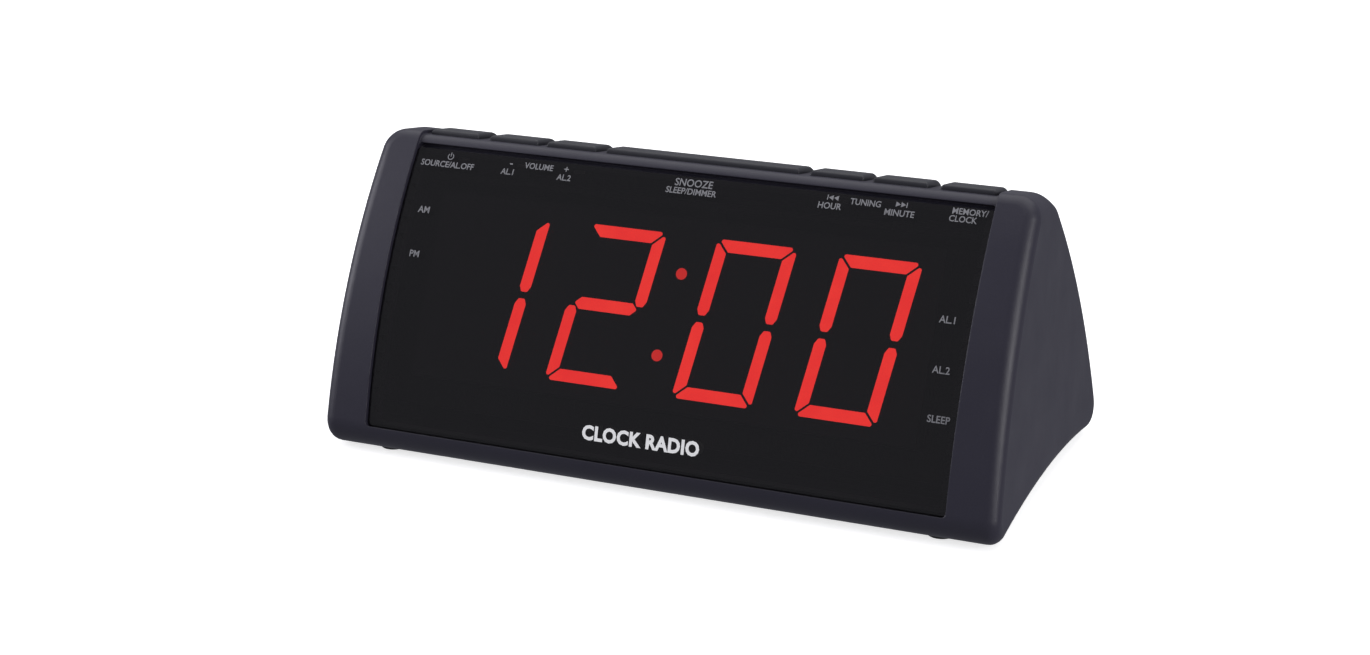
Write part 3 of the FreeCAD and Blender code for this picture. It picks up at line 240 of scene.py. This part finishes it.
def dark_diffuser():
    """An unlit segment or lamp window: nearly black, with a ground face."""
    paint = Paint("dark_segment", roughness=0.5)
    cloudy = paint.noise(3, 3)
    paint.set("Base Color", paint.mix(cloudy, (0.006, 0.004, 0.005), (0.012, 0.006, 0.007)))
    paint.roughen(paint.noise(1.2, 3), 0.4, 0.6)
    paint.raise_by(paint.noise(0.4, 2), 0.02)
    return paint.material


def black_moulding():
    """Plain inner moulding with flow marks and a fine grain."""
    paint = Paint("black_plastic")
    colour = (0.010, 0.010, 0.011)
    flow = paint.noise(9, 4, 0.6, paint.stretched(1, 0.35, 1))
    paint.set("Base Color", paint.mix(flow, colour, times(colour, 1.7)))
    paint.roughen(flow, 0.52, 0.68)
    paint.raise_by(paint.noise(0.3, 3), 0.015)
    return paint.material


def circuit_board(name, mask, over_copper, pad=(0.62, 0.60, 0.55), shine=1.0):
    """Solder mask over copper tracks, with rows of pads."""
    paint = Paint(name, coat_weight=0.5 * shine, coat_roughness=0.12)
    tracks = paint.add("ShaderNodeTexBrick", offset=0.5, squash=1.0)
    paint.feed(tracks.inputs["Vector"], paint.stretched(1, 1, 1, (0, 0, math.radians(45))))
    tracks.inputs["Scale"].default_value = 420
    tracks.inputs["Mortar Size"].default_value = 0.08
    tracks.inputs["Mortar Smooth"].default_value = 0.2
    copper = paint.math("SUBTRACT", 1.0, tracks.outputs["Fac"])
    pads = paint.span(paint.cells(2.54), 0.22, 0.17)
    masked = paint.mix(copper, over_copper, mask)
    paint.set("Base Color", paint.mix(pads, masked, pad))
    paint.set("Metallic", paint.math("MULTIPLY", pads, shine))
    paint.roughen(paint.noise(2, 3), 0.3, 0.45)
    paint.raise_by(paint.math("ADD", copper, pads), 0.04)
    return paint.material


def brushed_metal(name, colour, roughness, along=(1, 0.05, 1), tarnish=(0.3, 0.28, 0.25)):
    """Metal drawn in one direction, with a few dull patches."""
    paint = Paint(name, metallic=1.0)
    lines = paint.noise(0.35, 4, 0.7, paint.stretched(*along))
    patches = paint.span(paint.noise(6, 4), 0.5, 0.8, 0, 0.4)
    drawn = paint.mix(lines, colour, times(colour, 0.8))
    paint.set("Base Color", paint.mix(patches, drawn, tarnish))
    paint.roughen(lines, roughness - 0.08, roughness + 0.1)
    paint.raise_by(lines, 0.012)
    return paint.material


def chip_epoxy():
    """Moulded black epoxy with a fine sparkle of filler."""
    paint = Paint("chip_black")
    grains = paint.cells(0.18)
    filler = paint.span(grains, 0.0, 0.12)
    paint.set("Base Color", paint.mix(filler, (0.09, 0.09, 0.09), (0.022, 0.022, 0.024)))
    paint.roughen(paint.noise(1.5, 3), 0.5, 0.65)
    paint.raise_by(grains, 0.02)
    return paint.material


def led_resin():
    """Pale moulded resin of a light-emitting chip."""
    paint = Paint("led_chip", subsurface_weight=0.1, roughness=0.3)
    paint.set("Base Color", paint.mix(paint.noise(0.6, 2), (0.85, 0.80, 0.62), (0.95, 0.90, 0.70)))
    paint.raise_by(paint.noise(0.3, 2), 0.01)
    return paint.material


def foam():
    """Closed-cell foam tape."""
    paint = Paint("foam_tape", roughness=0.95)
    pores = paint.cells(0.35)
    walls = paint.span(pores, 0, 0.5)
    paint.set("Base Color", paint.mix(walls, (0.008, 0.008, 0.008), (0.03, 0.03, 0.032)))
    paint.raise_by(pores, 0.12)
    return paint.material


def sleeve():
    """Dark blue shrink sleeve with the pale stripe of the negative side."""
    paint = Paint("capacitor_sleeve", roughness=0.3, coat_weight=0.4)
    wrinkles = paint.noise(2.2, 3, 0.5, paint.stretched(1, 1, 0.3))
    paint.set("Base Color", paint.mix(wrinkles, (0.012, 0.02, 0.07), (0.03, 0.05, 0.13)))
    paint.roughen(wrinkles, 0.22, 0.38)
    paint.raise_by(wrinkles, 0.05)
    return paint.material


def sintered_ferrite():
    """Dark ferrite with pressed pores and chipped grain."""
    paint = Paint("ferrite", roughness=0.65, metallic=0.2)
    grain = paint.cells(0.5)
    paint.set("Base Color", paint.mix(grain, (0.05, 0.05, 0.055), (0.12, 0.12, 0.125)))
    paint.roughen(paint.noise(3, 4), 0.5, 0.75)
    paint.raise_by(grain, 0.05)
    return paint.material


def wound_copper():
    """Enamelled wire laid turn beside turn along the rod."""
    paint = Paint("copper_wire", metallic=0.85, roughness=0.28, coat_weight=0.6)
    turns = paint.bands(0.3)
    paint.set("Base Color", paint.mix(turns, (0.18, 0.05, 0.02), (0.72, 0.30, 0.12)))
    paint.raise_by(turns, 0.12)
    return paint.material


def pressed_paper():
    """Black cone paper with pressed fibres."""
    paint = Paint("cone_paper", roughness=0.9, sheen_weight=0.2)
    fibres = paint.noise(0.7, 5, 0.75, paint.stretched(1, 0.3, 1))
    paint.set("Base Color", paint.mix(fibres, (0.012, 0.012, 0.013), (0.06, 0.058, 0.055)))
    paint.raise_by(fibres, 0.10)
    return paint.material


def rubber():
    """Soft black rubber with bloom in its hollows."""
    paint = Paint("soft_rubber", roughness=0.8)
    bloom = paint.noise(4, 4)
    dusty = paint.span(bloom, 0.4, 0.8)
    paint.set("Base Color", paint.mix(dusty, (0.012, 0.012, 0.012), (0.045, 0.045, 0.046)))
    paint.roughen(bloom, 0.68, 0.88)
    paint.raise_by(paint.noise(0.5, 3), 0.04)
    return paint.material


def cell_jacket():
    """A plain green shrink jacket with a silver band."""
    paint = Paint("cell_jacket", roughness=0.25, coat_weight=0.3)
    low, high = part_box("backup_cells")
    across = paint.add("ShaderNodeSeparateXYZ")
    paint.feed(across.inputs[0], paint.place)
    band = paint.math("COMPARE", across.outputs["X"], low.x + 0.75 * (high.x - low.x))
    band.node.inputs[2].default_value = 2.5 * MM
    jacket = paint.mix(paint.noise(5, 3), (0.015, 0.10, 0.04), (0.02, 0.13, 0.055))
    paint.set("Base Color", paint.mix(band, jacket, (0.55, 0.56, 0.58)))
    paint.set("Metallic", paint.math("MULTIPLY", band, 0.8))
    paint.roughen(paint.noise(2, 3), 0.2, 0.35)
    return paint.material


def silver_film():
    """Blank brushed silver film."""
    paint = Paint("blank_label", metallic=0.7)
    lines = paint.noise(0.5, 4, 0.7, paint.stretched(0.06, 1, 1))
    paint.set("Base Color", paint.mix(lines, (0.42, 0.43, 0.45), (0.60, 0.61, 0.63)))
    paint.roughen(lines, 0.3, 0.45)
    paint.raise_by(lines, 0.01)
    return paint.material


def ribbon_cable():
    """Grey ribbon whose wires lie side by side across X."""
    paint = Paint("ribbon", roughness=0.5)
    wires = paint.bands(1.27)
    paint.set("Base Color", paint.mix(wires, (0.30, 0.30, 0.32), (0.58, 0.58, 0.60)))
    paint.raise_by(wires, 0.25)
    return paint.material


def lead_insulation():
    """Red insulation with faint draw marks."""
    paint = Paint("lead_insulation", roughness=0.4)
    marks = paint.noise(0.8, 3)
    paint.set("Base Color", paint.mix(marks, (0.35, 0.012, 0.012), (0.50, 0.02, 0.018)))
    paint.raise_by(marks, 0.02)
    return paint.material


def ivory_plastic():
    """Ivory plunger moulding."""
    paint = Paint("plunger_plastic", subsurface_weight=0.08)
    paint.set("Base Color", paint.mix(paint.noise(3, 3), (0.66, 0.63, 0.55), (0.74, 0.71, 0.64)))
    paint.roughen(paint.noise(1, 3), 0.35, 0.5)
    paint.raise_by(paint.noise(0.4, 2), 0.01)
    return paint.material


def screen_ink(name, colour, painted_glow=0.0):
    """Screen-printed ink, a little thin in places; a glow, when given, is painted light: a faint
    emission that makes a pale ink look brighter than the lamps alone make it.
    """
    paint = Paint(name, roughness=0.55, emission_color=(1, 1, 1), emission_strength=painted_glow)
    thin = paint.noise(0.5, 3)
    paint.set("Base Color", paint.mix(paint.span(thin, 0.3, 0.8), colour, times(colour, 0.8)))
    paint.raise_by(thin, 0.01)
    return paint.material


CASE_COLOUR = (0.0265, 0.0245, 0.040)
BUTTON_COLOUR = (0.024, 0.024, 0.031)
BLACK_MASK = (0.004, 0.004, 0.004)
MATERIALS = {
    "case_plastic": moulded_plastic("case_plastic", CASE_COLOUR, (0.085, 0.083, 0.10), 0.42),
    "button_plastic": moulded_plastic("button_plastic", BUTTON_COLOUR, (0.10, 0.10, 0.115), 0.40, 0.25),
    "lens_plastic": smoked_lens(),
    "foam_tape": foam(),
    "black_plastic": black_moulding(),
    "plunger_plastic": ivory_plastic(),
    "lit_segment": glowing_diffuser("lit_segment", 4.8),
    "dark_segment": dark_diffuser(),
    "led_chip": led_resin(),
    "circuit_board": circuit_board("circuit_board", (0.010, 0.075, 0.028), (0.018, 0.13, 0.045)),
    "chip_black": chip_epoxy(),
    "bright_steel": brushed_metal("bright_steel", (0.66, 0.66, 0.64), 0.25),
    "screw_steel": brushed_metal("screw_steel", (0.28, 0.28, 0.29), 0.35, (1, 1, 1), (0.12, 0.11, 0.10)),
    "heat_sink_aluminium": brushed_metal("heat_sink_aluminium", (0.62, 0.62, 0.63), 0.4, (1, 1, 0.05)),
    "capacitor_sleeve": sleeve(),
    "ferrite": sintered_ferrite(),
    "copper_wire": wound_copper(),
    "cone_paper": pressed_paper(),
    "soft_rubber": rubber(),
    "cell_jacket": cell_jacket(),
    "blank_label": silver_film(),
    "ribbon": ribbon_cable(),
    "lead_insulation": lead_insulation(),
}
BLACK_BOARD = circuit_board("black_board", BLACK_MASK, times(BLACK_MASK, 1.5),
                            times(BLACK_MASK, 2.5), 0.02)
LEGEND_INK = screen_ink("legend_ink", (0.30, 0.30, 0.32))
# The title ink carries a faint painted glow (emission 0.22): painted light that makes the pale print
# look brighter than the lamps make it.
TITLE_INK_AND_GLOW = screen_ink("title_ink_painted_glow", (0.95, 0.95, 0.96), 0.22)

for part in frame["record"]["subparts"]:
    piece = nodes[part["node"]]
    piece.data.materials.clear()
    piece.data.materials.append(MATERIALS[part["material_slot"]])
nodes["colon_dots"].data.materials[0] = glowing_diffuser("colon_glow", 3.2)
for board in ("display_board", "button_board"):
    nodes[board].data.materials[0] = BLACK_BOARD


# ------------------------------------------------------------------ printing

ABOVE = 30 * MM  # printing starts this far off its face, and is laid straight down
CAP_SHARE = 0.682  # height of a capital letter in the built-in font, for size 1
NARROW = 0.93  # width of the printed letters beside the built-in font's


class Face:
    """A side of the case as a sheet: across and up it, and out of it."""

    def __init__(self, middle, lean, front=True):
        """The front leans back by an angle, and the back leans forward."""
        self.middle = Vector(middle)
        turn = Matrix.Rotation(-lean if front else lean, 3, "X")
        side = 1 if front else -1
        self.across = turn @ Vector((side, 0, 0))
        self.up = turn @ Vector((0, 0, 1))
        self.out = turn @ Vector((0, -side, 0))

    def lay(self, mesh, skin):
        """Bend a flat mesh onto the skin that lies under it."""
        for vertex in mesh.vertices:
            across, up, height = vertex.co
            start = self.middle + self.across * across + self.up * up + self.out * ABOVE
            place = skin.ray_cast(start, -self.out)[0]
            vertex.co = place + self.out * height


def skin_of(name):
    """A CAD node's surface, to lay things on."""
    mesh = nodes[name].data
    return BVHTree.FromPolygons([vertex.co for vertex in mesh.vertices],
                                [list(face.vertices) for face in mesh.polygons])


def middle_of(name):
    """The middle of a CAD node's box."""
    low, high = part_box(name)
    return (low + high) / 2


def lettering(words, height, weight=0.0, spacing=1.0):
    """Words as a flat closed mesh, centred, with capitals of a height."""
    curve = bpy.data.curves.new("words", "FONT")
    curve.body = words
    curve.size = height / CAP_SHARE
    curve.align_x = "CENTER"
    curve.align_y = "CENTER"
    curve.space_character = spacing
    curve.offset = weight
    curve.extrude = INK / 2
    curve.resolution_u = 3
    holder = bpy.data.objects.new("words", curve)
    scene.collection.objects.link(holder)
    bpy.context.view_layer.update()
    shaped = holder.evaluated_get(bpy.context.evaluated_depsgraph_get())
    mesh = bpy.data.meshes.new_from_object(shaped)
    bpy.data.objects.remove(holder)
    work = bmesh.new()
    work.from_mesh(mesh)
    bmesh.ops.remove_doubles(work, verts=work.verts, dist=1e-7)
    bmesh.ops.scale(work, verts=work.verts, vec=(NARROW, 1, 1))
    work.to_mesh(mesh)
    work.free()
    return mesh


def plate(outlines):
    """Flat closed shapes from their outlines, each a list of points."""
    work = bmesh.new()
    for points in outlines:
        low = [work.verts.new((x, y, -INK / 2)) for x, y in points]
        high = [work.verts.new((x, y, INK / 2)) for x, y in points]
        work.faces.new(low)
        work.faces.new(high)
        for here in range(len(points)):
            work.faces.new((low[here - 1], low[here], high[here], high[here - 1]))
    bmesh.ops.recalc_face_normals(work, faces=work.faces)
    mesh = bpy.data.meshes.new("plate")
    work.to_mesh(mesh)
    work.free()
    return mesh


def skip_sign(height, forward):
    """Two triangles and a bar, as printed on tuning buttons."""
    half = height / 2
    sign = 1 if forward else -1
    shapes = []
    for start in (-1.1, -0.1):
        shapes.append([(sign * start * height, -half), (sign * (start + 0.9) * height, 0),
                       (sign * start * height, half)])
    shapes.append([(sign * 0.9 * height, -half), (sign * 1.08 * height, -half),
                   (sign * 1.08 * height, half), (sign * 0.9 * height, half)])
    return plate(shapes)


def power_sign(height):
    """A ring open at its top with a short bar in the gap."""
    outer = height * 0.46
    inner = height * 0.34
    steps = [math.radians(90 + 35 + 290 * step / 20) for step in range(21)]
    rim = [(math.cos(angle) * outer, math.sin(angle) * outer) for angle in steps]
    rim += [(math.cos(angle) * inner, math.sin(angle) * inner) for angle in reversed(steps)]
    bar = height * 0.06
    return plate([rim, [(-bar, 0), (bar, 0), (bar, height * 0.55), (-bar, height * 0.55)]])


def joined(name, parts):
    """One mesh from several, each moved to its own place on a sheet."""
    work = bmesh.new()
    for mesh, across, up in parts:
        mesh.transform(Matrix.Translation((across * MM, up * MM, 0)))
        work.from_mesh(mesh)
        bpy.data.meshes.remove(mesh)
    mesh = bpy.data.meshes.new(name)
    work.to_mesh(mesh)
    work.free()
    return mesh


def printed(name, parts, face, under, ink=LEGEND_INK, body="case"):
    """Print signs and words onto the CAD node under them, as one piece."""
    mesh = joined(name, parts)
    face.lay(mesh, skin_of(under))
    mesh.materials.append(ink)
    piece = bpy.data.objects.new(name, mesh)
    scene.collection.objects.link(piece)
    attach(piece, body)


# Words on the lens: text, across from the middle, up from the digits' middle, capital height, in mm.
LENS_WORDS = [
    ("SOURCE/AL.OFF", -76.8, 34.9, 1.75),
    ("-", -56.6, 37.6, 2.4),
    ("AL.1", -57.0, 34.8, 1.7),
    ("VOLUME", -47.7, 37.3, 1.7),
    ("+", -39.0, 37.4, 2.0),
    ("AL.2", -39.1, 34.9, 1.7),
    ("SNOOZE", 0.6, 37.5, 2.1),
    ("SLEEP/DIMMER", 0.3, 35.0, 1.75),
    ("HOUR", 41.4, 35.5, 1.75),
    ("TUNING", 51.5, 37.5, 1.7),
    ("MINUTE", 61.5, 35.6, 1.75),
    ("MEMORY/", 81.0, 38.1, 1.7),
    ("CLOCK", 79.4, 35.9, 1.7),
    ("AM", -80.3, 20.6, 1.9),
    ("PM", -80.2, 7.3, 1.9),
    ("AL.1", 81.0, 8.0, 1.9),
    ("AL.2", 81.4, -5.6, 1.9),
    ("SLEEP", 82.6, -18.7, 1.9),
]


def lens_printing():
    """The grey legends on the lens, and its one pale line of plain words."""
    digits = middle_of("lit_segments")
    front = Face((0, digits.y, digits.z), FRONT_LEAN)
    parts = [(lettering(words, height * MM, 0.04 * MM), across, up)
             for words, across, up, height in LENS_WORDS]
    parts.append((power_sign(2.2 * MM), -76.4, 37.5))
    parts.append((skip_sign(1.5 * MM, False), 41.9, 38.0))
    parts.append((skip_sign(1.5 * MM, True), 61.7, 38.2))
    printed("lens_legends", parts, front, "display_lens")
    title = [(lettering("CLOCK RADIO", 3.7 * MM, 0.22 * MM, 1.06), -1.7, -36.3)]
    printed("lens_title", title, front, "display_lens", TITLE_INK_AND_GLOW)


JACK_WORDS = {"power_inlet": "DC IN", "audio_jack": "AUX", "aerial_grommet": "AERIAL"}
OVER_JACKS = 16.5 * MM  # the words' height above the jacks' middles


def case_printing():
    """Plain words over the jacks, and an arrow on the battery door."""
    cover = middle_of("rear_cover")
    back = Face((0, cover.y, cover.z), BACK_LEAN, False)
    up = (middle_of("audio_jack").z + OVER_JACKS - cover.z) / math.cos(BACK_LEAN)
    parts = [(lettering(words, 1.8 * MM, 0.03 * MM), -middle_of(jack).x / MM, up / MM)
             for jack, words in JACK_WORDS.items()]
    printed("jack_legends", parts, back, "rear_cover")
    under = Face((middle_of("battery_door").x, 0, 0), math.radians(-90))
    triangle = [(-2.0 * MM, 0), (2.0 * MM, 0), (0, 3.0 * MM)]
    arrow = [(plate([triangle]), 0, 1.5), (lettering("OPEN", 2.2 * MM), 0, -2.0)]
    printed("door_legend", arrow, under, "battery_door", body="door")


lens_printing()
case_printing()


# ------------------------------------------------------------------ the room

LIT_PLACE = Vector((0, 0, 0.04))  # the middle of the object, which the lights face


def soft_light(name, place, size, power, colour=(1, 1, 1)):
    """A rectangular soft light that faces the object."""
    lamp = bpy.data.lights.new(name, "AREA")
    lamp.shape = "RECTANGLE"
    lamp.size, lamp.size_y = size
    lamp.energy = power
    lamp.color = colour
    holder = bpy.data.objects.new(name, lamp)
    holder.location = place
    holder.rotation_euler = (Vector(place) - LIT_PLACE).to_track_quat("Z", "Y").to_euler()
    holder.visible_camera = False
    scene.collection.objects.link(holder)


def pale_floor():
    """A wide pale floor for the object to stand on."""
    work = bmesh.new()
    bmesh.ops.create_grid(work, x_segments=8, y_segments=8, size=6)
    mesh = bpy.data.meshes.new("floor")
    work.to_mesh(mesh)
    work.free()
    paint = Paint("floor_paint", roughness=0.9, specular_ior_level=0.2)
    paint.set("Base Color", paint.mix(paint.noise(400, 2), (0.90, 0.90, 0.90), (0.92, 0.92, 0.92)))
    paint.set("Emission Color", (1.0, 1.0, 1.0))
    paint.set("Emission Strength", 0.72)
    mesh.materials.append(paint.material)
    floor = bpy.data.objects.new("floor", mesh)
    scene.collection.objects.link(floor)
    floor.visible_glossy = False
    floor.visible_diffuse = False


def studio_air(colour, strength):
    """Even light from all round."""
    world = bpy.data.worlds.new("studio")
    world.use_nodes = True
    ground = world.node_tree.nodes["Background"]
    ground.inputs["Color"].default_value = (*colour, 1)
    ground.inputs["Strength"].default_value = strength
    scene.world = world


def add_camera():
    """The camera: to the right of the object, looking a little down."""
    lens = bpy.data.cameras.new("camera")
    lens.sensor_width = 36
    lens.lens = 65.54
    lens.clip_start = 0.01
    holder = bpy.data.objects.new("camera", lens)
    holder.location = (0.2628, -0.6403, 0.2673)
    holder.rotation_euler = Euler((math.radians(71.39), 0, math.radians(23.03)))
    scene.collection.objects.link(holder)
    scene.camera = holder


pale_floor()
studio_air((0.90, 0.91, 1.0), 0.26)
# Each light: name, place and size in metres, power in watts, colour.
soft_light("overhead", (-0.1, 0.5, 1.5), (2.4, 2.0), 16)
soft_light("right_panel", (1.08, -0.42, 0.42), (0.85, 1.0), 3.0, (1, 0.99, 0.98))
soft_light("right_strip", (1.06, -0.22, 0.30), (0.22, 0.7), 2.6, (1, 0.99, 1.0))
soft_light("left_panel", (-0.8, -0.28, 0.36), (0.5, 0.6), 3.5, (0.95, 0.94, 1.0))
add_camera()
